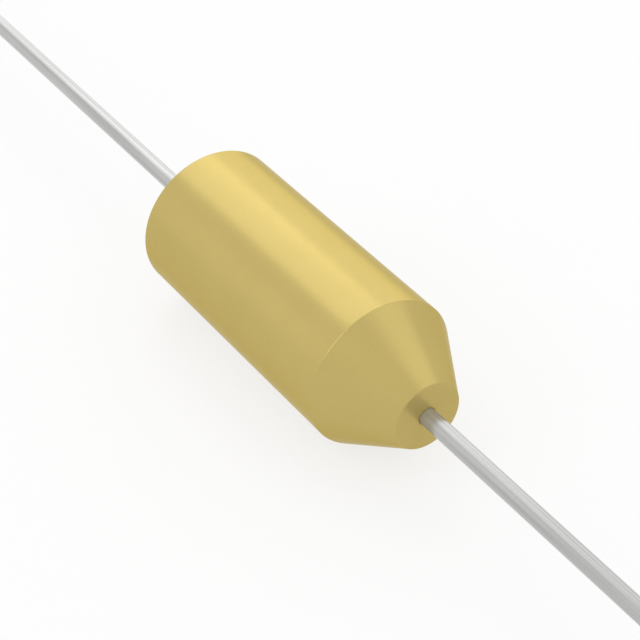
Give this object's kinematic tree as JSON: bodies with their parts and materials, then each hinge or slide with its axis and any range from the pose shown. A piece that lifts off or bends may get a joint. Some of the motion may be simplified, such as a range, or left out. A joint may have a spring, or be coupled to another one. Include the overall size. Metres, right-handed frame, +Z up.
{
  "type": "axial-lead tantalum capacitor",
  "caption": "Solid tantalum capacitor in a moulded cylindrical case with a tapered positive end and a straight wire lead out of each end.",
  "frame": {"origin": "on the axis of the leads, halfway along the moulded case", "axes": "+X along the leads, towards the tapered positive end; +Z up as the capacitor lies on its side; +Y completes the right-handed frame"},
  "size_m": [0.0676, 0.0044, 0.0044],
  "materials": {
    "case_epoxy": "satin gold-pigmented moulded epoxy",
    "tinned_wire": "bright tin plate on drawn wire, with fine lengthwise draw lines",
    "sintered_tantalum": "matt, finely porous, pressed and sintered powder",
    "tantalum_wire": "satin blue-grey drawn wire",
    "fluoropolymer": "waxy white",
    "manganese_dioxide": "matt black, finely crystalline",
    "graphite": "dull dark grey coating with a slight sheen",
    "silver_paint": "satin metallic paint",
    "weld_metal": "smooth once-molten metal, faintly heat-tinted",
    "solder": "bright, smooth, once-molten solder"
  },
  "bodies": {
    "root": {"moulded_case": "case_epoxy", "positive_lead": "tinned_wire", "negative_lead": "tinned_wire", "anode_slug": "sintered_tantalum", "riser_wire": "tantalum_wire", "insulating_washer": "fluoropolymer", "dioxide_layer": "manganese_dioxide", "graphite_layer": "graphite", "silver_layer": "silver_paint", "weld_bead": "weld_metal", "solder_joint": "solder"}
  },
  "joints": []
}
